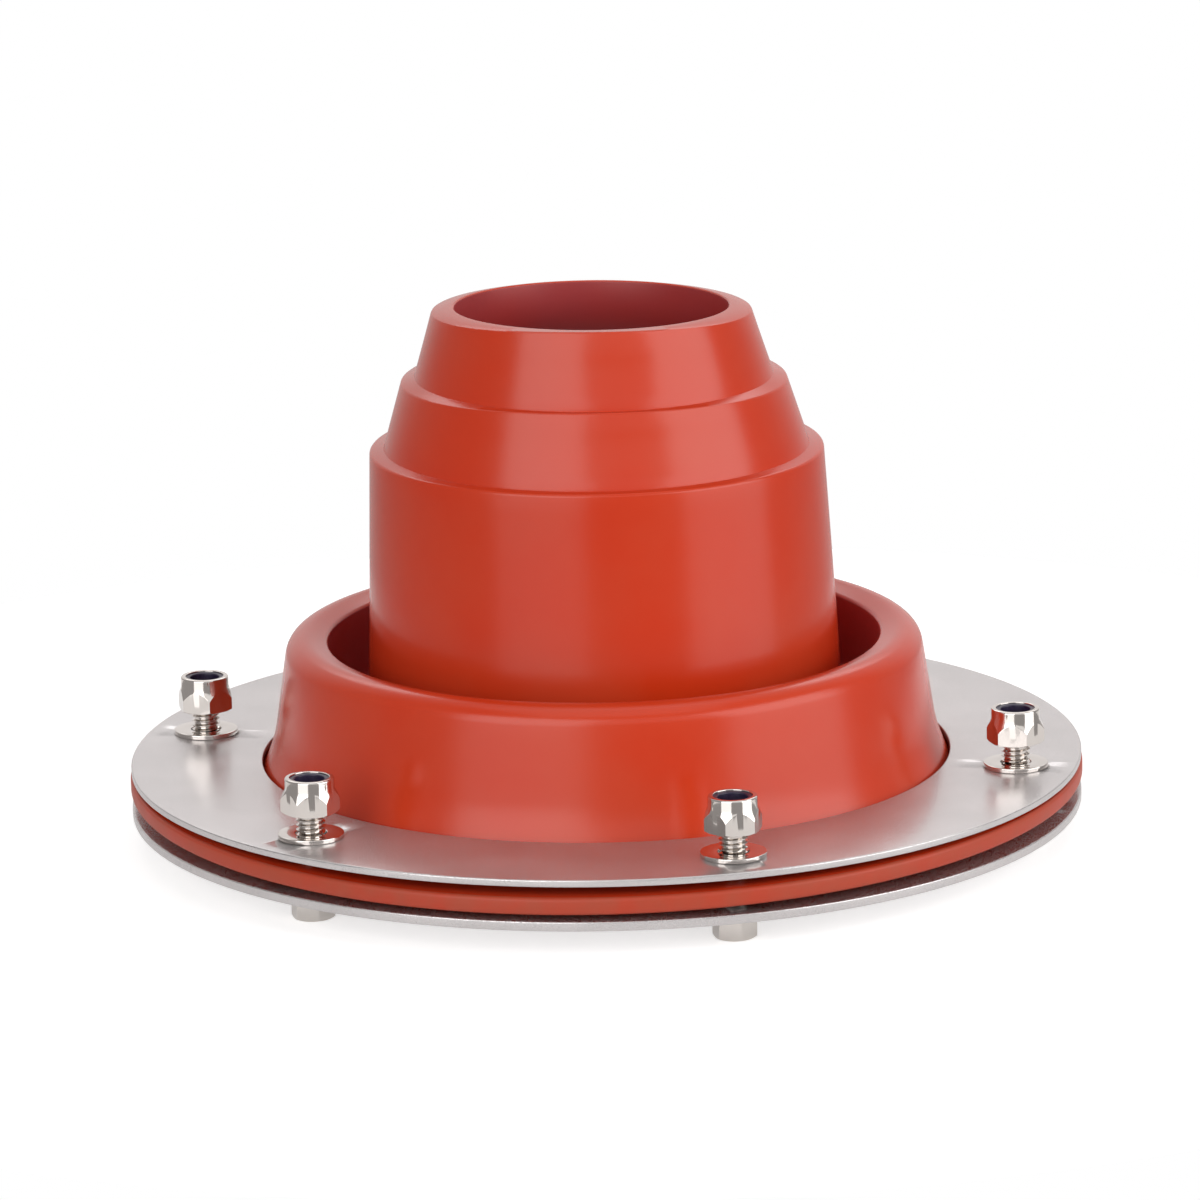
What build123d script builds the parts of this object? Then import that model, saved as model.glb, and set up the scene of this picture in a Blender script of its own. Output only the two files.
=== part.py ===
from build123d import *
import os
from math import cos, radians, tan

# Tent stove jack. Millimetres, +Z up along the stove pipe.
# The origin is the centre of the plane that the six bolt heads stand on, and +X runs through the first bolt.

# Pipe opening and neck of the boot, from the top tier down
pipe_bore_diameter = 57.0
pipe_land_length = 8.0
neck_wall = 4.8
rim_drop = 1.1
top_tier_height = 14.1
top_tier_flare = 4.1
upper_ledge_width = 2.8
upper_ledge_drop = 1.1
middle_tier_height = 15.0
middle_tier_flare = 4.2
lower_ledge_width = 3.0
lower_ledge_drop = 0.5
cylinder_top_height = 66.0
cylinder_flare = 2.5

# Trough and folded collar round the foot of the neck
trough_width = 7.0
trough_depth = 16.3
trough_draft = 1.0
mouth_drop = 2.3
fold_wall = 3.0
fold_gap = 2.2
collar_height = 27.6

# Skirt between the collar and the flange
skirt_spread = 3.5
skirt_break_height = 4.5
foot_spread = 3.0

# Rounded edges of the boot
rim_outer_round = 1.1
rim_inner_round = 0.5
ledge_round = 2.1
trough_round = 3.1
lip_round = 1.0
shoulder_round = 4.5
hollow_round = 0.8
skirt_break_round = 25.0
foot_round = 1.1
flange_edge_round = 0.8
web_round = 3.0

# Flange and its beads
flange_thickness = 3.6
flange_overhang = 0.2
bead_from_bore = 4.0
bead_width = 4.0
bead_round = 0.6
upper_bead_height = 1.7
lower_bead_height = 1.8

# Sheet steel rings
ring_clearance = 0.4
ring_band = 27.6
upper_ring_thickness = 1.5
lower_ring_thickness = 2.0
ring_edge_round = 0.3
bolt_line_from_bore = 15.2

# Bolts with a small hexagon and a washer face
bolt_count = 6
bolt_diameter = 6.0
bolt_tip_chamfer = 0.7
bolt_hole_clearance = 0.3
thread_engagement = 4.1
head_across_flats = 8.0
head_height = 6.2
head_corner_chamfer = 0.6
head_flange_diameter = 13.0
head_flange_thickness = 1.2
head_flange_slope = 0.9

# Flat washers
washer_diameter = 13.5
washer_thickness = 1.0
washer_edge_round = 0.2
washer_clearance = 0.2

# Lock nuts, run on part of the way, each stopped at its own angle in degrees
nut_across_flats = 10.0
nut_hexagon_height = 5.0
nut_shoulder_drop = 1.9
nut_collar_height = 2.3
nut_collar_inset = 0.1
nut_collar_round = 0.7
nut_corner_chamfer = 0.6
nut_gap_over_washer = 4.3
nut_turns = (3.0, 12.0, 41.0, -5.0, 19.0, 28.0)
thread_clearance = 0.05

# Nylon inserts held under the turned-in lip of each nut
insert_diameter = 8.4
insert_height = 1.7
crimp_lip_height = 0.3
crimp_lip_width = 0.3

chamfer_angle = 30.0

# Levels, from the bolt heads upwards
lower_ring_bottom = head_height
lower_ring_top = lower_ring_bottom + lower_ring_thickness
flange_bottom = lower_ring_top + lower_bead_height
flange_top = flange_bottom + flange_thickness
upper_ring_bottom = flange_top + upper_bead_height
upper_ring_top = upper_ring_bottom + upper_ring_thickness
washer_top = upper_ring_top + washer_thickness
nut_bottom = washer_top + nut_gap_over_washer
nut_height = nut_hexagon_height + nut_collar_height
bolt_length = nut_bottom + thread_engagement - head_height
skirt_break_level = upper_ring_top + skirt_break_height
collar_top = upper_ring_top + collar_height
mouth_level = collar_top - mouth_drop
hollow_top = mouth_level - fold_wall
trough_floor = mouth_level - trough_depth
web_bottom = trough_floor - fold_wall
cylinder_top = upper_ring_top + cylinder_top_height
cylinder_edge = cylinder_top - lower_ledge_drop
middle_tier_top = cylinder_top + middle_tier_height
middle_tier_edge = middle_tier_top - upper_ledge_drop
boot_top = middle_tier_top + top_tier_height
rim_edge = boot_top - rim_drop

# Radii of the boot's outer side, from the pipe opening outwards
bore_radius = pipe_bore_diameter / 2
rim_radius = bore_radius + neck_wall
top_tier_foot = rim_radius + top_tier_flare
middle_tier_head = top_tier_foot + upper_ledge_width
middle_tier_foot = middle_tier_head + middle_tier_flare
cylinder_head = middle_tier_foot + lower_ledge_width
cylinder_foot = cylinder_head + cylinder_flare
trough_foot = cylinder_foot + trough_width
mouth_radius = trough_foot + trough_draft
collar_radius = mouth_radius + 2 * fold_wall + fold_gap
skirt_break_radius = collar_radius + skirt_spread
foot_radius = skirt_break_radius + foot_spread


def radius_at(level, foot, head):
    """Radius at a level of the straight wall from foot to head, each given as (radius, level)."""
    share = (level - foot[1]) / (head[1] - foot[1])
    return foot[0] + share * (head[0] - foot[0])


# Straight walls of the boot's outer side, each from its foot to its head
top_tier_wall = ((top_tier_foot, middle_tier_top), (rim_radius, rim_edge))
middle_tier_wall = ((middle_tier_foot, cylinder_top), (middle_tier_head, middle_tier_edge))
cylinder_wall = ((cylinder_foot, trough_floor), (cylinder_head, cylinder_edge))
skirt_wall = ((skirt_break_radius, skirt_break_level), (collar_radius, collar_top))
foot_wall = ((foot_radius, flange_top), (skirt_break_radius, skirt_break_level))

# Radii of the rings, which clear the skirt, and of the bolts on them
ring_bore_radius = radius_at(upper_ring_bottom, *foot_wall) + ring_clearance
ring_radius = ring_bore_radius + ring_band
flange_radius = ring_radius + flange_overhang
bolt_line_radius = ring_bore_radius + bolt_line_from_bore
bolt_hole_radius = bolt_diameter / 2 + bolt_hole_clearance
nut_bore_radius = bolt_diameter / 2 + thread_clearance


def turned(outline):
    """Solid turned about Z from a closed outline of ((radius, level), corner round) entries."""
    points = [point for point, _ in outline]
    rounds = [size for _, size in outline]
    return revolve(Plane.XZ * make_face(FilletPolyline(*points, radius=rounds, close=True)), Axis.Z)


def turned_band(inner, outer, bottom, top, edge_round):
    """Flat ring between two radii and two levels, with the same round on its four edges."""
    corners = [(inner, bottom), (outer, bottom), (outer, top), (inner, top)]
    return turned([(corner, edge_round) for corner in corners])


def at_bolts(piece):
    """Copies of a piece at each bolt, with its own X axis pointing outwards."""
    return [place * piece for place in PolarLocations(bolt_line_radius, bolt_count)]


def bolt_holes(bottom, depth):
    """Clearance holes on the bolt line, from a level upwards."""
    return at_bolts(Pos(0, 0, bottom) * extrude(Circle(bolt_hole_radius), depth))


def flange_and_skirt():
    """Outer side from the flange's edge over the skirt and the collar to the mouth of the trough."""
    edge_round = min(flange_edge_round, 0.4 * flange_thickness)
    collar_width = collar_radius - mouth_radius
    return [
        ((flange_radius, flange_bottom), edge_round),
        ((flange_radius, flange_top), edge_round),
        ((foot_radius, flange_top), min(foot_round, 0.7 * upper_bead_height)),
        ((skirt_break_radius, skirt_break_level), skirt_break_round),
        ((collar_radius, collar_top), min(shoulder_round, 0.55 * collar_width)),
        ((mouth_radius, mouth_level), lip_round),
    ]


def neck_outside():
    """Outer side of the neck from the trough's floor over the two ledges to the rim."""
    floor_round = min(trough_round, 0.45 * trough_width)
    upper_round = min(ledge_round, 0.7 * upper_ledge_width)
    lower_round = min(ledge_round, 0.7 * lower_ledge_width)
    return [
        ((trough_foot, trough_floor), floor_round),
        ((cylinder_foot, trough_floor), floor_round),
        ((cylinder_head, cylinder_edge), lower_round),
        ((middle_tier_foot, cylinder_top), 0),
        ((middle_tier_head, middle_tier_edge), upper_round),
        ((top_tier_foot, middle_tier_top), 0),
        ((rim_radius, rim_edge), rim_outer_round),
    ]


def neck_inside():
    """Inner side of the neck from the rim down to the web, one neck wall inside the outer side."""
    upper_step = middle_tier_top - neck_wall
    lower_step = cylinder_top - neck_wall
    return [
        ((bore_radius, boot_top), rim_inner_round),
        ((bore_radius, boot_top - pipe_land_length), 0),
        ((radius_at(upper_step, *top_tier_wall) - neck_wall, upper_step), 0),
        ((radius_at(upper_step, *middle_tier_wall) - neck_wall, upper_step), 0),
        ((radius_at(lower_step, *middle_tier_wall) - neck_wall, lower_step), 0),
        ((radius_at(lower_step, *cylinder_wall) - neck_wall, lower_step), 0),
        ((radius_at(web_bottom, *cylinder_wall) - neck_wall, web_bottom), web_round),
    ]


def fold_underside():
    """Underside of the web under the trough, the hollow inside the collar, and the skirt."""
    top_round = min(hollow_round, 0.4 * fold_gap)
    return [
        ((trough_foot + fold_wall, web_bottom), web_round),
        ((mouth_radius + fold_wall, hollow_top), top_round),
        ((radius_at(hollow_top, *skirt_wall) - fold_wall, hollow_top), top_round),
        ((skirt_break_radius - fold_wall, skirt_break_level), 0),
        ((foot_radius - fold_wall, flange_bottom), foot_round),
    ]


def flange_beads():
    """Flat-topped bead on each face of the flange, which the two rings seat on."""
    inner = ring_bore_radius + bead_from_bore
    return turned_band(inner, inner + bead_width, lower_ring_top, upper_ring_bottom, bead_round)


def silicone_boot():
    """One moulding: flange with beads and bolt holes, skirt, folded collar, trough and stepped neck."""
    section = flange_and_skirt() + neck_outside() + neck_inside() + fold_underside()
    return turned(section) + flange_beads() - bolt_holes(flange_bottom, flange_thickness)


def steel_ring(bottom, thickness):
    """Flat ring of sheet steel with deburred edges and its bolt holes."""
    plate = turned_band(ring_bore_radius, ring_radius, bottom, bottom + thickness, ring_edge_round)
    return plate - bolt_holes(bottom, thickness)


def hexagon(across_flats, height):
    """Upright hexagonal prism with two of its corners on the X axis."""
    return extrude(RegularPolygon(across_flats / 2, 6, major_radius=False), height)


def corner_radius(across_flats):
    """Radius through the corners of a hexagon."""
    return across_flats / 2 / cos(radians(30))


def bolt():
    """Bolt standing on its head: chamfered hexagon, washer face with a sloped back, chamfered tip."""
    reach = corner_radius(head_across_flats)
    drop = head_corner_chamfer * tan(radians(chamfer_angle))
    face_bottom = head_height - head_flange_thickness
    trimmed = turned(
        [
            ((0, 0), 0),
            ((reach - head_corner_chamfer, 0), 0),
            ((reach, drop), 0),
            ((reach, head_height), 0),
            ((0, head_height), 0),
        ]
    )
    washer_face = turned(
        [
            ((0, face_bottom - head_flange_slope), 0),
            ((head_across_flats / 2, face_bottom - head_flange_slope), 0),
            ((head_flange_diameter / 2, face_bottom), 0),
            ((head_flange_diameter / 2, head_height), 0),
            ((0, head_height), 0),
        ]
    )
    shank = extrude(Circle(bolt_diameter / 2), bolt_length)
    shank = chamfer(shank.edges().group_by(Axis.Z)[-1], bolt_tip_chamfer)
    head = Rot(0, 0, 30) * hexagon(head_across_flats, head_height) & trimmed
    return head + washer_face + Pos(0, 0, head_height) * shank


def washer():
    """Flat washer lying on the upper ring."""
    inner = bolt_diameter / 2 + washer_clearance
    return turned_band(inner, washer_diameter / 2, upper_ring_top, washer_top, washer_edge_round)


def lock_nut():
    """Hexagon nut with a round collar, its bore, and the pocket of the insert under the turned-in lip."""
    reach = corner_radius(nut_across_flats)
    collar = nut_across_flats / 2 - nut_collar_inset
    slope = tan(radians(chamfer_angle))
    pocket_bottom = nut_height - crimp_lip_height - insert_height
    trimmed = turned(
        [
            ((0, 0), 0),
            ((reach - nut_corner_chamfer, 0), 0),
            ((reach, nut_corner_chamfer * slope), 0),
            ((reach, nut_hexagon_height - nut_shoulder_drop), 0),
            ((collar, nut_hexagon_height), 0),
            ((collar, nut_height), nut_collar_round),
            ((0, nut_height), 0),
        ]
    )
    blank = hexagon(nut_across_flats, nut_height) & trimmed
    bore = extrude(Circle(nut_bore_radius), nut_height)
    pocket = Pos(0, 0, pocket_bottom) * extrude(Circle(insert_diameter / 2), insert_height)
    mouth = Pos(0, 0, pocket_bottom) * extrude(
        Circle(insert_diameter / 2 - crimp_lip_width), insert_height + crimp_lip_height
    )
    return Pos(0, 0, nut_bottom) * (blank - bore - pocket - mouth)


def nylon_insert():
    """Plain nylon collar that fills the nut's pocket."""
    bottom = nut_bottom + nut_height - crimp_lip_height - insert_height
    blank = extrude(Circle(insert_diameter / 2) - Circle(nut_bore_radius), insert_height)
    return Pos(0, 0, bottom) * blank


def turned_nuts():
    """The lock nuts on their bolts, each at its own angle."""
    places = PolarLocations(bolt_line_radius, bolt_count)
    return [
        place * Rot(0, 0, nut_turns[index % len(nut_turns)]) * lock_nut() for index, place in enumerate(places)
    ]


def write(name, shape):
    """Write one node to its STEP file."""
    export_step(shape, f"parts/{name}.step")


os.makedirs("parts", exist_ok=True)
write("silicone_boot", silicone_boot())
write("upper_ring", steel_ring(upper_ring_bottom, upper_ring_thickness))
write("lower_ring", steel_ring(lower_ring_bottom, lower_ring_thickness))
write("bolts", Compound(at_bolts(bolt())))
write("flat_washers", Compound(at_bolts(washer())))
write("lock_nuts", Compound(turned_nuts()))
write("nylon_inserts", Compound(at_bolts(nylon_insert())))
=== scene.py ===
"""Looks of a tent stove jack: a stepped silicone boot, its flange clamped between two steel rings.

Every length in the classes is in millimetres, and a mesh is written in metres, in the frame of the
CAD part: +Z up along the stove pipe, the origin on the plane that the bolt heads stand on, +X
through the first bolt.
"""

import logging
import math
from collections.abc import Callable, Iterable, Sequence
from dataclasses import dataclass
from enum import Enum

import bmesh
import bpy
from mathutils import Matrix, Vector

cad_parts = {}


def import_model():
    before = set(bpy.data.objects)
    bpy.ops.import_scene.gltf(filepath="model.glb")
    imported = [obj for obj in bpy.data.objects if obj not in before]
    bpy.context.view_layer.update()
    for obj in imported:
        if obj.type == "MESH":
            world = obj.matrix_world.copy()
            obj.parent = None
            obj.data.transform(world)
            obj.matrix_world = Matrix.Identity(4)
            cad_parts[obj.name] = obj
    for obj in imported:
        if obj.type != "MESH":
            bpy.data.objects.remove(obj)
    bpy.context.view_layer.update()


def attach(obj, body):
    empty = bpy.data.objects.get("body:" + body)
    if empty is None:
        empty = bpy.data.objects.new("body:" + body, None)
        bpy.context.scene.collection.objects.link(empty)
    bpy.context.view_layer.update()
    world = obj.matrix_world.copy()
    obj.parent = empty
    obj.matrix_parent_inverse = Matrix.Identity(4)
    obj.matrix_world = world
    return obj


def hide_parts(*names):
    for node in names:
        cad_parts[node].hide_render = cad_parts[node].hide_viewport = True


LOG = logging.getLogger("stove_jack")
MILLIMETRE = 0.001
MERGE_DISTANCE = 2e-7
SHARP_ANGLE = math.radians(28)
BEVEL_ANGLE = math.radians(25)

# How finely a rounded corner is divided: the length and angle of one piece, and how many there are.
ARC_PIECE = 0.35
ARC_ANGLE = math.radians(7)
ARC_COUNTS = (2, 12)

Object = bpy.types.Object
Point = tuple[float, float]
Span = tuple[float, float]
Corner = tuple[Point, float]


# Meshes


def polar(radius: float, turn: float, level: float) -> Vector:
    """Point at a radius, an angle from +X and a level."""
    return Vector((radius * math.cos(turn), radius * math.sin(turn), level))


def rounded(corners: Sequence[Corner], piece: float = ARC_PIECE) -> list[Point]:
    """Follow a closed outline of (radius, level) corners, with an arc at each that has a round.

    Args:
        corners: each corner's point and the radius of its round, 0 for a sharp one.
        piece: about the length of one piece of an arc.

    Returns:
        The outline's points in order, the last one joined to the first.
    """
    points: list[Point] = []
    fewest, most = ARC_COUNTS
    for index, (corner, radius) in enumerate(corners):
        here = Vector(corner)
        if radius <= 0:
            points.append(corner)
            continue
        back = (Vector(corners[index - 1][0]) - here).normalized()
        ahead = (Vector(corners[(index + 1) % len(corners)][0]) - here).normalized()
        half = back.angle(ahead) / 2
        centre = here + (back + ahead).normalized() * (radius / math.sin(half))
        start = here + back * (radius / math.tan(half)) - centre
        sweep = start.angle_signed(here + ahead * (radius / math.tan(half)) - centre)
        by_length, by_angle = round(abs(sweep) * radius / piece), round(abs(sweep) / ARC_ANGLE)
        count = max(fewest, min(most, by_length, by_angle))
        for number in range(count + 1):
            turn = -sweep * number / count
            x = start.x * math.cos(turn) - start.y * math.sin(turn)
            y = start.x * math.sin(turn) + start.y * math.cos(turn)
            points.append(tuple(centre + Vector((x, y))))
    return points


def linked(name: str, data: bpy.types.ID) -> Object:
    """Put a mesh, light or camera into the scene.

    Args:
        name: the object's name.
        data: what it shows.

    Returns:
        The new object.
    """
    made = bpy.data.objects.new(name, data)
    bpy.context.scene.collection.objects.link(made)
    return made


def written(name: str, mesh: bmesh.types.BMesh) -> Object:
    """Clean a bmesh and write it to a new object with smooth faces and sharp edges.

    Args:
        name: the piece's name.
        mesh: the finished bmesh, which this frees.

    Returns:
        The new object.
    """
    bmesh.ops.remove_doubles(mesh, verts=mesh.verts, dist=MERGE_DISTANCE)
    bmesh.ops.dissolve_degenerate(mesh, edges=mesh.edges, dist=MERGE_DISTANCE)
    bmesh.ops.recalc_face_normals(mesh, faces=mesh.faces)
    for face in mesh.faces:
        face.smooth = True
    for edge in mesh.edges:
        edge.smooth = edge.calc_face_angle(0.0) < SHARP_ANGLE
    data = bpy.data.meshes.new(name)
    mesh.to_mesh(data)
    mesh.free()
    return linked(name, data)


def skin(name: str, loops: Sequence[Sequence[Vector]], closed: bool) -> Object:
    """Join loops of points into one surface.

    Args:
        name: the piece's name.
        loops: the loops in order, each with as many points. A loop's last point is not its first.
        closed: whether the last loop joins the first, as round a ring's section.

    Returns:
        The new object.
    """
    mesh = bmesh.new()
    rows = [[mesh.verts.new(point * MILLIMETRE) for point in loop] for loop in loops]
    pairs = list(zip(rows, rows[1:]))
    if closed:
        pairs.append((rows[-1], rows[0]))
    for lower, upper in pairs:
        count = len(lower)
        for column in range(count):
            following = (column + 1) % count
            mesh.faces.new((lower[column], lower[following], upper[following], upper[column]))
    return written(name, mesh)


def lathe(
    name: str,
    outline: Sequence[Point],
    columns: int,
    bend: Callable[[Vector], Vector] | None = None,
    closed: bool = True,
) -> Object:
    """Turn an outline about Z.

    Args:
        name: the piece's name.
        outline: the (radius, level) points of the section.
        columns: how many steps go round.
        bend: moves each point after it is turned.
        closed: whether the outline's last point joins the first.

    Returns:
        The new object.
    """
    loops = []
    for radius, level in outline:
        loop = [polar(radius, math.tau * column / columns, level) for column in range(columns)]
        loops.append([bend(point) for point in loop] if bend else loop)
    return skin(name, loops, closed)


def modified(piece: Object, kind: str, **settings: object) -> None:
    """Put a modifier on a piece and apply it.

    Args:
        piece: the object to change.
        kind: the modifier's type name.
        settings: the modifier's properties by name.
    """
    modifier = piece.modifiers.new(kind.title(), kind)
    for key, value in settings.items():
        setattr(modifier, key, value)
    graph = bpy.context.evaluated_depsgraph_get()
    made = bpy.data.meshes.new_from_object(piece.evaluated_get(graph))
    made.name = piece.name
    piece.modifiers.clear()
    old = piece.data
    piece.data = made
    bpy.data.meshes.remove(old)


def bevelled(piece: Object, width: float) -> None:
    """Round a piece's sharp edges over a width in millimetres."""
    limit = {"limit_method": "ANGLE", "angle_limit": BEVEL_ANGLE}
    modified(piece, "BEVEL", width=width * MILLIMETRE, segments=2, **limit)


def combined(piece: Object, other: Object, operation: str) -> None:
    """Join another object to a piece or cut it out of it, and remove it.

    Args:
        piece: the object to change.
        other: the object to join or cut out.
        operation: UNION or DIFFERENCE.
    """
    modified(piece, "BOOLEAN", object=other, operation=operation, solver="EXACT")
    bpy.data.objects.remove(other)


def repeated(name: str, piece: Object, places: Iterable[Matrix]) -> Object:
    """Copy a piece to places as one object, which has no material yet.

    Args:
        name: the new object's name.
        piece: the piece to copy, which is removed.
        places: where each copy goes, in millimetres.

    Returns:
        The object with all the copies.
    """
    mesh = bmesh.new()
    for place in places:
        copy = piece.data.copy()
        move = place.copy()
        move.translation *= MILLIMETRE
        copy.transform(move)
        mesh.from_mesh(copy)
        bpy.data.meshes.remove(copy)
    data = bpy.data.meshes.new(name)
    mesh.to_mesh(data)
    mesh.free()
    bpy.data.objects.remove(piece)
    return linked(name, data)


# Finishes


def linear(colour: str) -> tuple[float, float, float, float]:
    """Turn an sRGB hex colour into linear red, green, blue and an alpha of 1.

    Args:
        colour: six hex digits after a hash sign.

    Returns:
        The four channels.
    """
    parts = [int(colour[place : place + 2], 16) / 255 for place in (1, 3, 5)]
    channels = [
        part / 12.92 if part <= 0.04045 else ((part + 0.055) / 1.055) ** 2.4 for part in parts
    ]
    return (*channels, 1.0)


def node(
    tree: bpy.types.NodeTree,
    kind: str,
    settings: dict[str, object] | None = None,
    **sockets: object,
) -> bpy.types.Node:
    """Add a node with its settings and its links.

    Args:
        tree: the node tree.
        kind: the node's type name.
        settings: the node's own properties by name.
        sockets: an input's name, its spaces as underscores, or its index after "i", and a value,
            an output to link, or a node whose first output is linked.

    Returns:
        The new node.
    """
    made = tree.nodes.new(kind)
    for key, value in (settings or {}).items():
        setattr(made, key, value)
    for key, value in sockets.items():
        by_index = key[0] == "i" and key[1:].isdigit()
        socket = made.inputs[int(key[1:]) if by_index else key.replace("_", " ")]
        if isinstance(value, bpy.types.Node):
            value = value.outputs[0]
        if isinstance(value, bpy.types.NodeSocket):
            tree.links.new(value, socket)
        else:
            socket.default_value = value
    return made


def per_millimetre(size: float) -> float:
    """Texture scale, in metres of object space, for features of a size in millimetres."""
    return 1.0 / (size * MILLIMETRE)


def blank_material(
    name: str,
) -> tuple[bpy.types.Material, bpy.types.NodeTree, bpy.types.NodeSocket]:
    """Make an empty material.

    Args:
        name: the material's name.

    Returns:
        The material, its tree and the object-space position.
    """
    material = bpy.data.materials.new(name)
    material.use_nodes = True
    tree = material.node_tree
    tree.nodes.clear()
    return material, tree, node(tree, "ShaderNodeTexCoord").outputs["Object"]


@dataclass(frozen=True)
class SiliconeRubber:
    """Heat-cured silicone rubber, moulded in a smooth steel tool.

    It gives the eye an even brick orange with broad soft highlights and paler grazing edges. The
    moulded skin has a faint cloud of lighter pigment and dust, and a slight orange peel that
    softens the highlights' edges.
    """

    name: str
    colour: str
    cloud_colour: str
    roughness: Span = (0.21, 0.26)
    cloud_size: float = 26.0
    cloud_octaves: float = 3.0
    cloud_band: Span = (0.35, 0.65)
    peel_size: float = 1.1
    peel_octaves: float = 1.0
    peel_depth: float = 0.010
    ior: float = 1.43

    def material(self) -> bpy.types.Material:
        """Build the material.

        Returns:
            The new material.
        """
        made, tree, position = blank_material(self.name)
        cloud = node(
            tree,
            "ShaderNodeTexNoise",
            Vector=position,
            Scale=per_millimetre(self.cloud_size),
            Detail=self.cloud_octaves,
        )
        ramp = node(tree, "ShaderNodeValToRGB", Fac=cloud)
        first, last = ramp.color_ramp.elements
        first.position, last.position = self.cloud_band
        first.color, last.color = linear(self.colour), linear(self.cloud_colour)
        low, high = self.roughness
        peel = node(
            tree,
            "ShaderNodeTexNoise",
            Vector=position,
            Scale=per_millimetre(self.peel_size),
            Detail=self.peel_octaves,
        )
        depth = self.peel_depth * MILLIMETRE
        shader = node(
            tree,
            "ShaderNodeBsdfPrincipled",
            Base_Color=ramp,
            Roughness=node(tree, "ShaderNodeMapRange", Value=cloud, To_Min=low, To_Max=high),
            IOR=self.ior,
            Normal=node(tree, "ShaderNodeBump", Height=peel, Strength=1.0, Distance=depth),
        )
        node(tree, "ShaderNodeOutputMaterial", Surface=shader)
        return made


# What the polished outer half of the tool moulds is brick orange with a satin shine.
OUTER_SKIN = SiliconeRubber("silicone_rubber_moulded", "#c83513", "#c73d1f")
# Painted shade: the neck's inner side and the trough, which lie in shade, are painted a darker,
# a little violet wine red, and are duller than the outer skin.
PAINTED_SHADE_SKIN = SiliconeRubber(
    "silicone_rubber_painted_shade", "#a83432", "#a2393a", roughness=(0.36, 0.42)
)
# The flange is cut out of the sheet that the moulding leaves round it, so its edge is matt and
# brownish.
CUT_EDGE = SiliconeRubber(
    "silicone_rubber_cut_edge", "#b33c22", "#aa442c", roughness=(0.42, 0.55), cloud_size=6.0
)
BOOT_FINISHES = (OUTER_SKIN, PAINTED_SHADE_SKIN, CUT_EDGE)


class Grain(Enum):
    """How a steel surface was worked, as its grain's size along X, Y and Z in millimetres.

    Real rolling lines lie some hundredths of a millimetre apart, and are drawn coarser to show.
    """

    ROLLED = (9.0, 0.25, 0.25)
    TUMBLED = (0.6, 0.6, 0.6)


@dataclass(frozen=True)
class StainlessSteel:
    """Austenitic stainless steel, either cold-rolled sheet or cold-headed and tumbled fasteners.

    The grain shows as lines or marks in the shine, and the patches as a slight change of grey.
    Pits as fine as these only add a haze to the mirror image, so they are drawn as roughness.
    """

    name: str
    grain: Grain
    colour: str
    dull_colour: str
    roughness: Span
    grain_depth: float
    pit_roughness: float
    grain_octaves: float = 2.0
    patch_size: float = 18.0
    patch_octaves: float = 3.0
    patch_band: Span = (0.3, 0.7)
    pit_size: float = 0.14
    pit_band: Span = (0.5, 0.62)

    def material(self) -> bpy.types.Material:
        """Build the material.

        Returns:
            The new material.
        """
        made, tree, position = blank_material(self.name)
        stretch = Vector([per_millimetre(size) for size in self.grain.value])
        grained = node(tree, "ShaderNodeMapping", Vector=position, Scale=stretch)
        lines = node(
            tree, "ShaderNodeTexNoise", Vector=grained, Scale=1.0, Detail=self.grain_octaves
        )
        patches = node(
            tree,
            "ShaderNodeTexNoise",
            Vector=position,
            Scale=per_millimetre(self.patch_size),
            Detail=self.patch_octaves,
        )
        ramp = node(tree, "ShaderNodeValToRGB", Fac=patches)
        first, last = ramp.color_ramp.elements
        first.position, last.position = self.patch_band
        first.color, last.color = linear(self.dull_colour), linear(self.colour)
        low, high = self.roughness
        smooth = node(tree, "ShaderNodeMapRange", Value=patches, To_Min=low, To_Max=high)
        pits = node(
            tree,
            "ShaderNodeTexNoise",
            Vector=position,
            Scale=per_millimetre(self.pit_size),
            Detail=0.0,
        )
        pitted = node(
            tree,
            "ShaderNodeMapRange",
            Value=pits,
            From_Min=self.pit_band[0],
            From_Max=self.pit_band[1],
            To_Max=self.pit_roughness,
        )
        depth = self.grain_depth * MILLIMETRE
        shader = node(
            tree,
            "ShaderNodeBsdfPrincipled",
            Base_Color=ramp,
            Metallic=1.0,
            Roughness=node(tree, "ShaderNodeMath", {"operation": "ADD"}, i0=smooth, i1=pitted),
            Normal=node(tree, "ShaderNodeBump", Height=lines, Strength=1.0, Distance=depth),
        )
        node(tree, "ShaderNodeOutputMaterial", Surface=shader)
        return made


# Rolled sheet is a pale warm grey under a thin haze. It mirrors what stands on it, softened more
# the farther it is, with hair-fine rolling lines.
SHEET_STEEL = StainlessSteel(
    "stainless_steel_rolled_sheet",
    Grain.ROLLED,
    "#cbc8c8",
    "#c3c0c0",
    roughness=(0.22, 0.27),
    grain_depth=0.0004,
    pit_roughness=0.5,
)
# Tumbled fasteners are brighter and mirror their surroundings clearly, with faint marks.
BRIGHT_STEEL = StainlessSteel(
    "stainless_steel_tumbled_fasteners",
    Grain.TUMBLED,
    "#d9d4cf",
    "#cec8c3",
    roughness=(0.07, 0.13),
    grain_depth=0.0012,
    pit_roughness=0.0,
)


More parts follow.
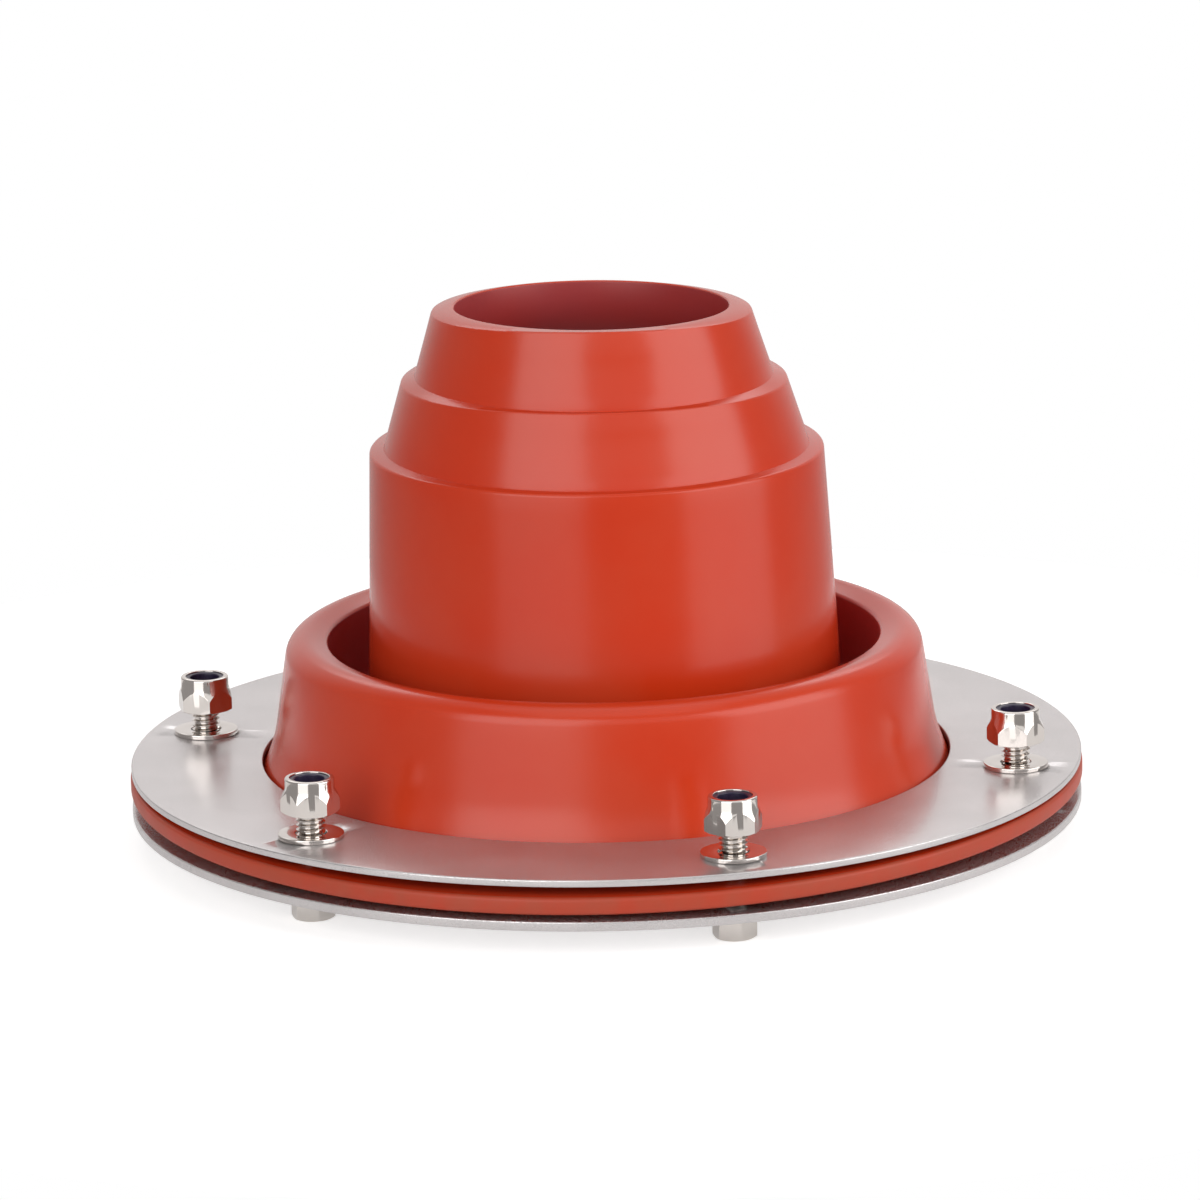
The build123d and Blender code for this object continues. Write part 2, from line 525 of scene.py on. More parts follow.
@dataclass(frozen=True)
class DyedNylon:
    """Nylon 66 dyed dark violet-blue, moulded and pressed into the nut.

    It gives the eye a nearly black ring with a low soft shine and faint marks from the press.
    """

    name: str = "nylon_dyed_violet"
    colour: str = "#1c1430"
    worn_colour: str = "#2a1f3d"
    roughness: float = 0.38
    mark_size: float = 0.5
    mark_octaves: float = 2.0
    mark_band: Span = (0.4, 0.7)
    mark_depth: float = 0.01
    ior: float = 1.53

    def material(self) -> bpy.types.Material:
        """Build the material.

        Returns:
            The new material.
        """
        made, tree, position = blank_material(self.name)
        marks = node(
            tree,
            "ShaderNodeTexNoise",
            Vector=position,
            Scale=per_millimetre(self.mark_size),
            Detail=self.mark_octaves,
        )
        ramp = node(tree, "ShaderNodeValToRGB", Fac=marks)
        first, last = ramp.color_ramp.elements
        first.position, last.position = self.mark_band
        first.color, last.color = linear(self.colour), linear(self.worn_colour)
        depth = self.mark_depth * MILLIMETRE
        shader = node(
            tree,
            "ShaderNodeBsdfPrincipled",
            Base_Color=ramp,
            Roughness=self.roughness,
            IOR=self.ior,
            Normal=node(tree, "ShaderNodeBump", Height=marks, Strength=1.0, Distance=depth),
        )
        node(tree, "ShaderNodeOutputMaterial", Surface=shader)
        return made


def dressed(
    piece: Object, materials: Iterable[bpy.types.Material], node_name: str
) -> Object:
    """Give a piece its materials, hide the CAD node that it stands for and attach it to its body.

    Args:
        piece: the finished mesh.
        materials: its materials in order.
        node_name: the CAD node that it stands for.

    Returns:
        The same piece.
    """
    piece.data.materials.clear()
    for material in materials:
        piece.data.materials.append(material)
    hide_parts(node_name)
    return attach(piece, "root")


# The stove jack


@dataclass(frozen=True)
class Layout:
    """Levels and radii that the pieces share, as the CAD part has them."""

    lower_ring_bottom: float = 6.2
    lower_ring_top: float = 8.2
    flange_bottom: float = 10.0
    flange_top: float = 13.6
    upper_ring_bottom: float = 15.3
    upper_ring_top: float = 16.8
    washer_top: float = 17.8
    nut_bottom: float = 22.1
    ring_bore: float = 72.34
    ring_radius: float = 99.94
    bolt_line: float = 87.54
    bolt_count: int = 6
    hole_radius: float = 3.3
    hole_columns: int = 40

    def stations(self, turns: Sequence[float] = (0.0,), level: float = 0.0) -> list[Matrix]:
        """Place a piece at each bolt.

        Args:
            turns: by how many degrees each is turned on its own axis, repeated as needed.
            level: the height of the piece's origin.

        Returns:
            One place for each bolt, in millimetres.
        """
        return [
            Matrix.Rotation(math.tau * index / self.bolt_count, 4, "Z")
            @ Matrix.Translation((self.bolt_line, 0, level))
            @ Matrix.Rotation(math.radians(turns[index % len(turns)]), 4, "Z")
            for index in range(self.bolt_count)
        ]

    def drill(self, piece: Object, bottom: float, top: float) -> None:
        """Cut the bolt holes out of a piece.

        Args:
            piece: the ring or boot to drill.
            bottom: the level where the drill starts.
            top: the level where it ends.
        """
        radius = self.hole_radius
        outline = ((0.0, bottom), (radius, bottom), (radius, top), (0.0, top))
        bit = lathe("drill_bit", outline, self.hole_columns, closed=False)
        combined(piece, repeated("drill", bit, self.stations()), "DIFFERENCE")


@dataclass(frozen=True)
class Boot:
    """The one silicone moulding: stepped neck, trough, folded collar, skirt and flange."""

    layout: Layout

    # Corners of the section, as (radius, level).
    bore_edge: Point = (28.5, 111.9)
    land_bottom: float = 103.9
    rim: Point = (33.3, 110.8)
    top_tier_foot: Point = (37.4, 97.8)
    middle_tier_head: Point = (40.2, 96.7)
    middle_tier_foot: Point = (44.4, 82.8)
    cylinder_head: Point = (47.4, 82.3)
    cylinder_foot: Point = (49.9, 25.8)
    trough_foot: Point = (56.9, 25.8)
    mouth: Point = (57.9, 42.1)
    collar: Point = (66.1, 44.4)
    skirt_break: Point = (69.6, 21.3)
    foot: float = 72.6
    flange_radius: float = 100.14

    # Walls and beads.
    neck_wall: float = 4.8
    fold_wall: float = 3.0
    bead_from_bore: float = 4.0
    bead_width: float = 4.0

    # Rounds of the corners.
    bore_round: float = 0.5
    rim_round: float = 0.7
    upper_ledge_round: float = 0.7
    lower_ledge_round: float = 0.8
    ledge_root_round: float = 0.15
    trough_round: float = 3.1
    lip_round: float = 1.0
    shoulder_round: float = 4.5
    skirt_break_round: float = 25.0
    foot_round: float = 1.1
    web_round: float = 3.0
    hollow_round: float = 0.8
    bead_round: float = 0.6
    bead_root_round: float = 0.5
    flange_round: float = 0.8

    # How the soft moulding has settled: the neck's lean and tilt, what stands up at the front of
    # the rim and of each edge, and the flange's waves.
    lean: float = 0.0175
    lean_level: float = 44.0
    lean_heading: float = math.radians(193.4)
    tilt: float = math.radians(0.55)
    front_heading: float = math.radians(-76.6)
    rim_rise: float = 0.6
    rim_tip: float = 0.75
    edge_lifts: tuple[Corner, ...] = ((rim, 1.5), (middle_tier_head, 1.3), (cylinder_head, 0.6))
    lift_reach: float = 3.2
    wave_height: float = 0.9
    wave_offset: float = 0.42
    wave_count: int = 2
    wave_heading: float = math.radians(-41.6)

    # Where each finish begins: how far the cut edge reaches in, and, for the painted shade on the
    # neck's inner side and in the trough, how far a face's centre may be off the wall that it is on
    # and how much a face of the rim looks upwards.
    cut_edge_depth: float = 0.75
    wall_margin: float = 0.5
    rim_upward: float = 0.5

    columns: int = 288
    facet_length: float = 3.0
    drill_margin: float = 0.5

    @property
    def bead(self) -> Span:
        """Inner and outer radius of the beads that the rings seat on."""
        inner = self.layout.ring_bore + self.bead_from_bore
        return inner, inner + self.bead_width

    @staticmethod
    def wall(level: float, foot: Point, head: Point) -> float:
        """Radius at a level of the straight wall through two points."""
        return foot[0] + (head[0] - foot[0]) * (level - foot[1]) / (head[1] - foot[1])

    def outside(self) -> list[Corner]:
        """Follow the outer side: flange edge, bead, skirt, collar, trough, ledges and rim.

        Returns:
            The corners, each with its round.
        """
        over, seat = self.layout.flange_top, self.layout.upper_ring_bottom
        bead_in, bead_out = self.bead
        return [
            ((self.flange_radius, over), self.flange_round),
            ((bead_out, over), self.bead_root_round),
            ((bead_out, seat), self.bead_round),
            ((bead_in, seat), self.bead_round),
            ((bead_in, over), self.bead_root_round),
            ((self.foot, over), self.foot_round),
            (self.skirt_break, self.skirt_break_round),
            (self.collar, self.shoulder_round),
            (self.mouth, self.lip_round),
            (self.trough_foot, self.trough_round),
            (self.cylinder_foot, self.trough_round),
            (self.cylinder_head, self.lower_ledge_round),
            (self.middle_tier_foot, self.ledge_root_round),
            (self.middle_tier_head, self.upper_ledge_round),
            (self.top_tier_foot, self.ledge_root_round),
            (self.rim, self.rim_round),
        ]

    def inside(self) -> list[Corner]:
        """Follow the inner side: bore, neck, web, hollow of the fold, skirt, bead and flange edge.

        Returns:
            The corners, each with its round.
        """
        under, seat = self.layout.flange_bottom, self.layout.lower_ring_top
        bead_in, bead_out = self.bead
        web = self.trough_foot[1] - self.fold_wall
        hollow = self.mouth[1] - self.fold_wall
        upper_step = self.top_tier_foot[1] - self.neck_wall
        lower_step = self.middle_tier_foot[1] - self.neck_wall
        steps = (
            (upper_step, self.top_tier_foot, self.rim),
            (upper_step, self.middle_tier_foot, self.middle_tier_head),
            (lower_step, self.middle_tier_foot, self.middle_tier_head),
            (lower_step, self.cylinder_foot, self.cylinder_head),
        )
        neck_foot = self.wall(web, self.cylinder_foot, self.cylinder_head) - self.neck_wall
        skirt_top = self.wall(hollow, self.skirt_break, self.collar) - self.fold_wall
        return [
            (self.bore_edge, self.bore_round),
            ((self.bore_edge[0], self.land_bottom), 0.0),
            *[((self.wall(*step) - self.neck_wall, step[0]), 0.0) for step in steps],
            ((neck_foot, web), self.web_round),
            ((self.trough_foot[0] + self.fold_wall, web), self.web_round),
            ((self.mouth[0] + self.fold_wall, hollow), self.hollow_round),
            ((skirt_top, hollow), self.hollow_round),
            ((self.skirt_break[0] - self.fold_wall, self.skirt_break[1]), 0.0),
            ((self.foot - self.fold_wall, under), self.foot_round),
            ((bead_in, under), self.bead_root_round),
            ((bead_in, seat), self.bead_round),
            ((bead_out, seat), self.bead_round),
            ((bead_out, under), self.bead_root_round),
            ((self.flange_radius, under), self.flange_round),
        ]

    def lifted(self, point: Vector) -> float:
        """How much the soft top tier and the edges of rim and ledges stand up at the front.

        Args:
            point: a point of the straight boot.

        Returns:
            The lift, which fades out round the neck, down the tier and away from each edge.
        """
        facing = math.cos(math.atan2(point.y, point.x) - self.front_heading)
        foot, top = self.top_tier_foot[1], self.bore_edge[1]
        share = max(0.0, (point.z - foot) / (top - foot))
        lift = (self.rim_rise + self.rim_tip * facing) * share * share
        for edge, height in self.edge_lifts:
            away = min(1.0, math.dist((point.xy.length, point.z), edge) / self.lift_reach)
            lift += height * (1.0 - away * away) ** 2 * max(0.0, facing) ** 2
        return lift

    def settled(self, point: Vector) -> Vector:
        """Lean and tilt the neck and let the flange wave between the rings, as the real one does.

        Args:
            point: a point of the straight boot.

        Returns:
            Where it settles.
        """
        moved = point.copy()
        above = max(0.0, point.z - self.lean_level)
        heading = Vector((math.cos(self.lean_heading), math.sin(self.lean_heading)))
        share = above / (self.bore_edge[1] - self.lean_level)
        moved.z += math.tan(self.tilt) * share * share * heading.dot(point.xy)
        moved.x += self.lean * above * heading.x
        moved.y += self.lean * above * heading.y
        moved.z += self.lifted(point)
        bead_out = self.bead[1]
        share = (point.xy.length - bead_out) / (self.flange_radius - bead_out)
        share = min(1.0, max(0.0, share))
        turn = math.atan2(point.y, point.x) - self.wave_heading
        wave = self.wave_offset + self.wave_height * math.sin(self.wave_count * turn)
        moved.z += wave * share * share * (3 - 2 * share)
        return moved

    # These two tests pick the faces that get the painted shade.
    def in_trough(self, centre: Vector) -> bool:
        """Whether a face is on the trough's outer half, under the mouth.

        Args:
            centre: the face's centre.

        Returns:
            True for the trough's outer half.
        """
        half_way = (self.cylinder_foot[0] + self.trough_foot[0]) / 2
        limit = self.wall(centre.z, self.trough_foot, self.mouth) + self.wall_margin
        low, high = self.trough_foot[1] - self.wall_margin, self.mouth[1] - self.wall_margin
        return half_way < centre.xy.length < limit and low < centre.z < high

    def faces_pipe(self, centre: Vector, upward: float) -> bool:
        """Whether a face is on the inner side of the neck, under the rim.

        Args:
            centre: the face's centre.
            upward: the upward share of its normal.

        Returns:
            True for the neck's inner side.
        """
        outer = self.wall(centre.z, self.cylinder_foot, self.cylinder_head)
        if centre.z > self.middle_tier_foot[1]:
            outer = self.wall(centre.z, self.middle_tier_foot, self.middle_tier_head)
        if centre.z > self.top_tier_foot[1]:
            outer = min(outer, self.wall(centre.z, self.top_tier_foot, self.rim))
        within = centre.xy.length < outer - self.neck_wall / 2
        over_web = centre.z > self.trough_foot[1] - self.fold_wall
        return within and over_web and upward < self.rim_upward

    def build(self) -> Object:
        """Build and dress the boot.

        Returns:
            The boot.
        """
        outline: list[Point] = []
        points = rounded(self.outside() + self.inside())
        for start, end in zip(points, points[1:] + points[:1]):
            steps = max(1, round(math.dist(start, end) / self.facet_length))
            run, rise = end[0] - start[0], end[1] - start[1]
            outline += [
                (start[0] + run * step / steps, start[1] + rise * step / steps)
                for step in range(steps)
            ]
        piece = lathe("silicone_boot_moulded", outline, self.columns, self.settled)
        self.layout.drill(
            piece,
            self.layout.lower_ring_top - self.drill_margin,
            self.layout.upper_ring_bottom + self.drill_margin,
        )
        materials = [finish.material() for finish in BOOT_FINISHES]
        dressed(piece, materials, "silicone_boot")
        for face in piece.data.polygons:
            centre = face.center / MILLIMETRE
            # The neck's inner side and the trough get the painted shade.
            if self.faces_pipe(centre, face.normal.z) or self.in_trough(centre):
                face.material_index = BOOT_FINISHES.index(PAINTED_SHADE_SKIN)
            elif centre.xy.length > self.flange_radius - self.cut_edge_depth:
                face.material_index = BOOT_FINISHES.index(CUT_EDGE)
        return piece


@dataclass(frozen=True)
class ClampRings:
    """The two flat rings of sheet steel, over and under the flange."""

    layout: Layout
    edge_round: float = 0.3
    arc_piece: float = 0.1
    drill_margin: float = 1.0
    columns: int = 288

    def ring(self, name: str, bottom: float, top: float) -> Object:
        """Build one ring.

        Args:
            name: the piece's name.
            bottom: the level of its underside.
            top: the level of its upper face.

        Returns:
            The drilled ring.
        """
        inner, outer = self.layout.ring_bore, self.layout.ring_radius
        corners = [(inner, bottom), (outer, bottom), (outer, top), (inner, top)]
        outline = rounded([(corner, self.edge_round) for corner in corners], self.arc_piece)
        piece = lathe(name, outline, self.columns)
        self.layout.drill(piece, bottom - self.drill_margin, top + self.drill_margin)
        return piece

    def build(self) -> list[Object]:
        """Build and dress both rings.

        Returns:
            The upper and the lower ring.
        """
        layout = self.layout
        sheet = SHEET_STEEL.material()
        upper = self.ring("upper_ring_sheet", layout.upper_ring_bottom, layout.upper_ring_top)
        lower = self.ring("lower_ring_sheet", layout.lower_ring_bottom, layout.lower_ring_top)
        return [
            dressed(upper, [sheet], "upper_ring"),
            dressed(lower, [sheet], "lower_ring"),
        ]


@dataclass(frozen=True)
class Hexagon:
    """A hexagonal prism whose ends are trimmed by cones."""

    across_flats: float
    columns: int = 96

    @property
    def corner(self) -> float:
        """Radius through the corners."""
        return self.across_flats / 2 / math.cos(math.radians(30))

    def reach(self, turn: float) -> float:
        """Radius of the prism at an angle from a corner."""
        from_flat = (turn % math.radians(60)) - math.radians(30)
        return self.across_flats / 2 / math.cos(from_flat)

    def loop(self, place: Callable[[float], Point]) -> list[Vector]:
        """Make one loop round the prism.

        Args:
            place: gives the (radius, level) for the prism's radius in a direction.

        Returns:
            The loop's points.
        """
        points = []
        for column in range(self.columns):
            turn = math.tau * column / self.columns
            radius, level = place(self.reach(turn))
            points.append(polar(radius, turn, level))
        return points

    def ring(self, radius: float, level: float) -> list[Vector]:
        """Make a round loop with as many points as the others."""
        return self.loop(lambda reach: (radius, level))


@dataclass(frozen=True)
class Fasteners:
    """Bolts, flat washers and lock nuts with their nylon inserts."""

    layout: Layout
    cone_slope: float = math.tan(math.radians(30))

    bolt_radius: float = 3.0
    bolt_length: float = 20.0
    tip_length: float = 0.6
    tip_chamfer: float = 0.35
    shank_overlap: float = 0.2

    # The thread's lines, as shares of its pitch from the start of a turn, and whether each lies on
    # the crest.
    thread_pitch: float = 1.0
    thread_depth: float = 0.61
    thread_lines: tuple[tuple[float, bool], ...] = (
        (0.0, False),
        (0.25, False),
        (0.5625, True),
        (0.6875, True),
    )
    thread_columns: int = 64

    head: Hexagon = Hexagon(8.0)
    head_height: float = 6.2
    head_chamfer: float = 0.6
    head_bevel: float = 0.15
    head_flange_radius: float = 6.5
    head_flange_thickness: float = 1.2
    head_flange_slope: float = 0.9
    head_flange_round: float = 0.15
    head_fillet_foot: float = 0.2
    head_fillet: float = 0.3

    washer_radius: float = 6.75
    washer_clearance: float = 0.2
    washer_round: float = 0.2
    washer_arc_piece: float = 0.08
    round_columns: int = 72

    nut: Hexagon = Hexagon(10.5)
    nut_height: float = 7.3
    nut_hexagon_height: float = 5.0
    nut_chamfer: float = 0.6
    nut_bevel: float = 0.12
    nut_shoulder_drop: float = 2.3
    nut_collar: float = 5.05
    nut_collar_round: float = 0.4
    nut_collar_pieces: int = 5
    nut_clearance: float = 0.05
    nut_turns: tuple[float, ...] = (3.0, 12.0, 41.0, -5.0, 19.0, 28.0)

    lip_height: float = 0.3
    lip_width: float = 0.3
    lip_chamfer: float = 0.1
    insert_radius: float = 4.3
    insert_height: float = 1.7
    insert_round: float = 0.3
    insert_arc_piece: float = 0.1

    def head_blank(self) -> Object:
        """Make a bolt head: chamfered hexagon with a sloped washer face.

        Returns:
            The head.
        """
        lead = self.head.corner - self.head_chamfer
        face = self.head_height - self.head_flange_thickness
        shoulder = face - self.head_flange_slope
        rim, edge = self.head_flange_radius, self.head_flange_round
        foot, fillet = self.head_fillet_foot, self.head_fillet
        loops = [
            self.head.ring(0.0, 0.0),
            self.head.loop(lambda reach: (min(reach, lead), 0.0)),
            self.head.loop(lambda reach: (reach, max(0.0, reach - lead) * self.cone_slope)),
            self.head.loop(lambda reach: (reach, shoulder + foot)),
            self.head.loop(lambda reach: (reach + fillet, shoulder + fillet)),
            self.head.ring(rim - edge, face),
            self.head.ring(rim, face + edge),
            self.head.ring(rim, self.head_height),
            self.head.ring(0.0, self.head_height),
        ]
        head = skin("bolt_head", loops, closed=False)
        bevelled(head, self.head_bevel)
        return head

    def thread_line(self, turns: float, radius: float, limits: Span) -> list[Point]:
        """Follow one line of the thread once round.

        Args:
            turns: how many turns from the thread's start it begins.
            radius: the line's radius.
            limits: the levels where the thread starts and ends. Beyond them the line is at the
                thread's root.

        Returns:
            The (radius, level) in each column, the last one a pitch over the first.
        """
        start, end = limits
        root = self.bolt_radius - self.thread_depth
        line: list[Point] = []
        for column in range(self.thread_columns + 1):
            level = start + self.thread_pitch * (turns + column / self.thread_columns)
            within = start < level < end
            line.append((radius, level) if within else (root, min(max(level, start), end)))
        return line

    def shank(self) -> Object:
        """Make a shank: one helical thread with flat crest and root, and a chamfered tip.

        Returns:
            The shank.
        """
        start = self.head_height - self.shank_overlap
        tip = self.head_height + self.bolt_length
        limits = (start, tip - self.tip_length)
        root = self.bolt_radius - self.thread_depth
        count = self.thread_columns + 1
        rows = [[(0.0, start)] * count, [(root, start)] * count]
        turns = round(self.bolt_length / self.thread_pitch) + 2
        for number in range(turns):
            for share, on_crest in self.thread_lines:
                radius = self.bolt_radius if on_crest else root
                rows.append(self.thread_line(number + share - 1.0, radius, limits))
        rows.append([(root, limits[1])] * count)
        rows.append([(root - self.tip_chamfer, tip)] * count)
        rows.append([(0.0, tip)] * count)
        mesh = bmesh.new()
        grid = []
        for row in rows:
            line = []
            for column, (radius, level) in enumerate(row):
                turn = math.tau * (column / self.thread_columns)
                line.append(mesh.verts.new(polar(radius, turn, level) * MILLIMETRE))
            grid.append(line)
        for lower, upper in zip(grid, grid[1:]):
            for column in range(self.thread_columns):
                mesh.faces.new((lower[column], lower[column + 1], upper[column + 1], upper[column]))
        return written("bolt_shank", mesh)

    def bolts(self) -> Object:
        """Build the bolts, each head and shank as one solid.

        Returns:
            The six bolts.
        """
        bolt = self.head_blank()
        combined(bolt, self.shank(), "UNION")
        return repeated("bolts_threaded", bolt, self.layout.stations())

    def washers(self) -> Object:
        """Build the flat washers.

        Returns:
            The six washers.
        """
        inner, outer = self.bolt_radius + self.washer_clearance, self.washer_radius
        bottom, top = self.layout.upper_ring_top, self.layout.washer_top
        corners = [(inner, bottom), (outer, bottom), (outer, top), (inner, top)]
        edges = [(corner, self.washer_round) for corner in corners]
        outline = rounded(edges, self.washer_arc_piece)
        washer = lathe("washer", outline, self.round_columns)
        return repeated("flat_washers_pressed", washer, self.layout.stations())

    def nuts(self) -> Object:
        """Build the lock nuts with chamfered hexagon, collar and turned-in lip.

        Returns:
            The six nuts.
        """
        lead = self.nut.corner - self.nut_chamfer
        shoulder, top = self.nut_hexagon_height, self.nut_height
        collar, crest = self.nut_collar, self.nut_collar_round
        steepness = self.nut_shoulder_drop / (self.nut.corner - collar)
        bore = self.bolt_radius + self.nut_clearance
        lip = top - self.lip_height
        pocket = lip - self.insert_height
        mouth = self.insert_radius - self.lip_width
        loops = [
            self.nut.ring(bore, 0.0),
            self.nut.loop(lambda reach: (min(reach, lead), 0.0)),
            self.nut.loop(lambda reach: (reach, max(0.0, reach - lead) * self.cone_slope)),
            self.nut.loop(lambda reach: (reach, shoulder - (reach - collar) * steepness)),
            self.nut.ring(collar, shoulder),
        ]
        for number in range(self.nut_collar_pieces + 1):
            angle = math.radians(90 * number / self.nut_collar_pieces)
            inwards, down = crest - crest * math.cos(angle), crest - crest * math.sin(angle)
            loops.append(self.nut.ring(collar - inwards, top - down))
        loops += [
            self.nut.ring(mouth + self.lip_chamfer, top),
            self.nut.ring(mouth, top - self.lip_chamfer),
            self.nut.ring(mouth, lip),
            self.nut.ring(self.insert_radius, lip),
            self.nut.ring(self.insert_radius, pocket),
            self.nut.ring(bore, pocket),
        ]
        nut = skin("nut", loops, closed=True)
        bevelled(nut, self.nut_bevel)
        places = self.layout.stations(self.nut_turns, self.layout.nut_bottom)
        return repeated("lock_nuts_chamfered", nut, places)

    def inserts(self) -> Object:
        """Build the nylon inserts.

        Returns:
            The six inserts.
        """
        top = self.nut_height - self.lip_height
        bottom = top - self.insert_height
        bore = self.bolt_radius + self.nut_clearance
        corners = [
            ((bore, bottom), 0.0),
            ((self.insert_radius, bottom), 0.0),
            ((self.insert_radius, top), 0.0),
            ((bore, top), self.insert_round),
        ]
        outline = rounded(corners, self.insert_arc_piece)
        insert = lathe("insert", outline, self.round_columns)
        places = self.layout.stations(level=self.layout.nut_bottom)
        return repeated("nylon_inserts_pressed", insert, places)

    def build(self) -> list[Object]:
        """Build and dress all the fasteners.

        Returns:
            Bolts, washers, nuts and inserts.
        """
        bright, nylon = BRIGHT_STEEL.material(), DyedNylon().material()
        return [
            dressed(self.bolts(), [bright], "bolts"),
            dressed(self.washers(), [bright], "flat_washers"),
            dressed(self.nuts(), [bright], "lock_nuts"),
            dressed(self.inserts(), [nylon], "nylon_inserts"),
        ]


# Studio


@dataclass(frozen=True)
class Lamp:
    """A soft area lamp that faces the object.

    Its turn is in degrees to the right of the camera, its lift in degrees above the floor, its
    power in watts, and its size and distance are in metres.
    """

    name: str
    turn: float
    lift: float
    power: float
    size: Span
    away: float = 2.2


# Two tall strips give the boot its two bands of highlight, and reach below the small floor so that
# the bands run down the cylinder. The others fill the front, the top and the back.
LAMPS = (
    Lamp("left_strip", -29.5, 24.0, 21.0, (1.82, 1.26)),
    Lamp("left_strip_low", -29.5, -2.0, 5.5, (1.82, 0.78)),
    Lamp("right_strip", 67.0, 24.0, 24.0, (1.96, 1.26)),
    Lamp("right_strip_low", 67.0, -2.0, 7.7, (1.96, 0.78)),
    Lamp("front_fill", 18.0, 27.0, 3.0, (1.6, 0.9)),
    Lamp("overhead", 10.0, 80.0, 10.0, (2.2, 2.2), away=2.4),
    Lamp("back_soft", 180.0, 40.0, 8.0, (2.0, 0.8), away=2.3),
)


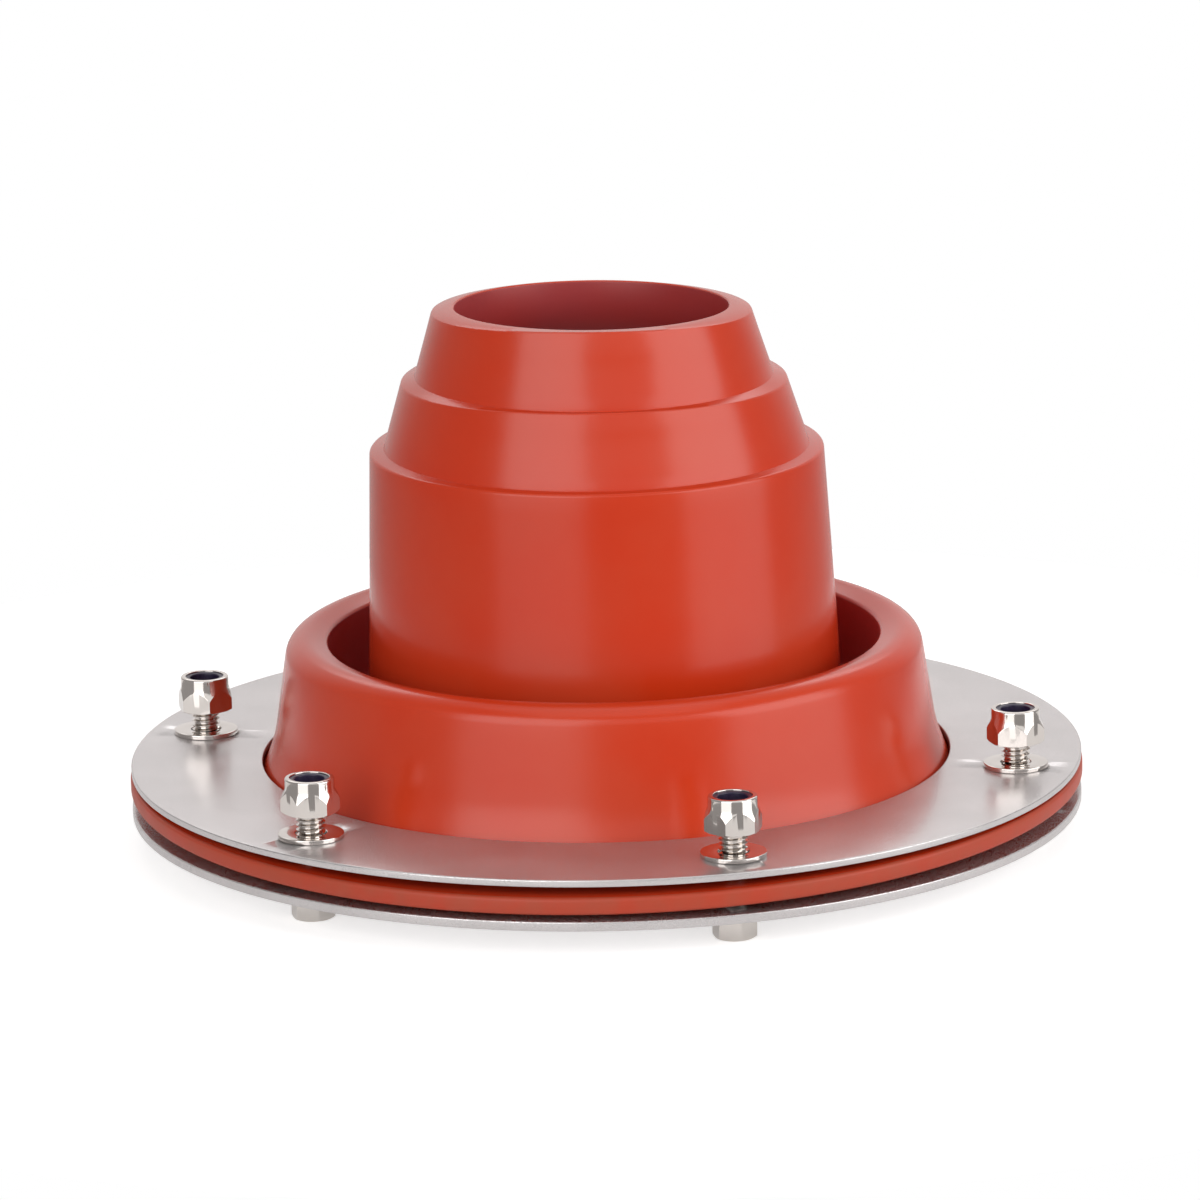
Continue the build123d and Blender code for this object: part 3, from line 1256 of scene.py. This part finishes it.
@dataclass(frozen=True)
class Studio:
    """White floor and backdrop, soft lamps and the camera."""

    azimuth: float = math.radians(13.4)
    elevation: float = math.radians(13.973)
    roll: float = math.radians(1.203)
    distance: float = 1600.0
    aim_level: float = 16.8
    side_shift: float = -1.292
    rise: float = 31.35
    lens: float = 227.8
    sensor: float = 36.0

    # The level that the lamps face.
    lamp_aim: float = 60.0

    # The world's fill, and the white paper behind the object that the steel mirrors. The paper is
    # darker to the sides: its two strengths belong to two cosines of the angle to its middle.
    fill_colour: str = "#f4f2f2"
    fill_strength: float = 0.23
    mirrored_colour: str = "#f6f2f1"
    mirrored_heading: Span = (180.0, 35.0)
    mirrored_cosines: Span = (0.45, 0.93)
    mirrored_strengths: Span = (0.42, 1.0)

    floor_radius: float = 250.0
    floor_columns: int = 64
    paper_colour: str = "#e9e7e6"
    paper_roughness: float = 0.9
    paper_specular: float = 0.1
    paper_glow: float = 0.58
    paper_glow_in_steel: float = 0.55

    def heading(self, turn: float, lift: float) -> Vector:
        """Direction from the object, by its angle to the camera's right and above the floor.

        Args:
            turn: the angle to the right of the camera, in degrees.
            lift: the angle above the floor, in degrees.

        Returns:
            A unit vector.
        """
        right = Vector((math.cos(self.azimuth), math.sin(self.azimuth), 0))
        front = Vector((math.sin(self.azimuth), -math.cos(self.azimuth), 0))
        level = front * math.cos(math.radians(turn)) + right * math.sin(math.radians(turn))
        return level * math.cos(math.radians(lift)) + Vector((0, 0, math.sin(math.radians(lift))))

    def camera(self) -> None:
        """Put the camera at the photograph's angle."""
        back = self.heading(0, math.degrees(self.elevation))
        right = Vector((math.cos(self.azimuth), math.sin(self.azimuth), 0))
        up = back.cross(right)
        cosine, sine = math.cos(self.roll), math.sin(self.roll)
        across = right * cosine - up * sine
        upward = right * sine + up * cosine
        aim = Vector((0, 0, self.aim_level))
        place = aim + back * self.distance + across * self.side_shift + upward * self.rise
        data = bpy.data.cameras.new("camera")
        data.lens, data.sensor_width = self.lens, self.sensor
        camera = linked("camera", data)
        turned = Matrix((across, upward, back)).transposed().to_4x4()
        camera.matrix_world = Matrix.Translation(place * MILLIMETRE) @ turned
        bpy.context.scene.camera = camera

    def hang(self, lamp: Lamp) -> None:
        """Hang a lamp so that it faces the object.

        Args:
            lamp: the lamp's place, size and power.
        """
        data = bpy.data.lights.new(lamp.name, "AREA")
        data.shape = "RECTANGLE"
        data.size, data.size_y = lamp.size
        data.energy = lamp.power
        aim = Vector((0, 0, self.lamp_aim * MILLIMETRE))
        place = aim + self.heading(lamp.turn, lamp.lift) * lamp.away
        turned = (place - aim).to_track_quat("Z", "Y").to_matrix().to_4x4()
        linked(lamp.name, data).matrix_world = Matrix.Translation(place) @ turned

    def world(self) -> None:
        """Light from all round, and the white that the camera and the steel see."""
        world = bpy.data.worlds.new("studio")
        world.use_nodes = True
        tree = world.node_tree
        tree.nodes.clear()
        path = node(tree, "ShaderNodeLightPath")
        facing = node(
            tree,
            "ShaderNodeVectorMath",
            {"operation": "DOT_PRODUCT"},
            i0=node(tree, "ShaderNodeTexCoord").outputs["Generated"],
            i1=self.heading(*self.mirrored_heading),
        ).outputs["Value"]
        brightness = node(
            tree,
            "ShaderNodeMapRange",
            {"interpolation_type": "SMOOTHSTEP"},
            Value=facing,
            From_Min=self.mirrored_cosines[0],
            From_Max=self.mirrored_cosines[1],
            To_Min=self.mirrored_strengths[0],
            To_Max=self.mirrored_strengths[1],
        )
        backgrounds = (
            (self.fill_colour, self.fill_strength),
            (self.mirrored_colour, brightness),
            ("#ffffff", 1.0),
        )
        fill, mirrored, white = [
            node(tree, "ShaderNodeBackground", Color=linear(colour), Strength=strength)
            for colour, strength in backgrounds
        ]
        glossy = node(
            tree, "ShaderNodeMixShader", Fac=path.outputs["Is Glossy Ray"], i1=fill, i2=mirrored
        )
        seen = node(
            tree,
            "ShaderNodeMath",
            {"operation": "MAXIMUM"},
            i0=path.outputs["Is Camera Ray"],
            i1=path.outputs["Is Transmission Ray"],
        )
        shown = node(tree, "ShaderNodeMixShader", Fac=seen, i1=glossy, i2=white)
        node(tree, "ShaderNodeOutputWorld", Surface=shown)
        bpy.context.scene.world = world

    def floor(self) -> None:
        """Lay the pale floor that the bolt heads stand on, which keeps a soft shadow."""
        outline = ((0.0, 0.0), (self.floor_radius, 0.0))
        floor = lathe("floor", outline, self.floor_columns, closed=False)
        material, tree, _ = blank_material("studio_paper")
        path = node(tree, "ShaderNodeLightPath")
        seen = node(
            tree,
            "ShaderNodeMath",
            {"operation": "MULTIPLY_ADD"},
            i0=path.outputs["Is Glossy Ray"],
            i1=self.paper_glow_in_steel,
            i2=path.outputs["Is Camera Ray"],
        )
        paper = node(
            tree,
            "ShaderNodeBsdfPrincipled",
            Base_Color=linear(self.paper_colour),
            Roughness=self.paper_roughness,
            Specular_IOR_Level=self.paper_specular,
        )
        glow = node(tree, "ShaderNodeEmission", Color=linear("#ffffff"), Strength=self.paper_glow)
        both = node(tree, "ShaderNodeAddShader", i0=paper, i1=glow)
        shown = node(tree, "ShaderNodeMixShader", Fac=seen, i1=paper, i2=both)
        node(tree, "ShaderNodeOutputMaterial", Surface=shown)
        floor.data.materials.append(material)

    def build(self) -> None:
        """Set up the view, the light and the floor."""
        bpy.context.scene.view_settings.view_transform = "Standard"
        self.camera()
        self.world()
        self.floor()
        for lamp in LAMPS:
            self.hang(lamp)


def corners(box: tuple[Vector, Vector]) -> list[list[float]]:
    """Lowest and highest corner as plain lists."""
    return [list(box[0]), list(box[1])]


def main() -> None:
    """Load the frame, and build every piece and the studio."""
    logging.basicConfig(level=logging.INFO, format="%(message)s")
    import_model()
    layout = Layout()
    pieces = [Boot(layout).build(), *ClampRings(layout).build(), *Fasteners(layout).build()]
    for piece in pieces:
        LOG.info("%s: %d faces", piece.name, len(piece.data.polygons))
    Studio().build()


if __name__ == "__main__":
    main()
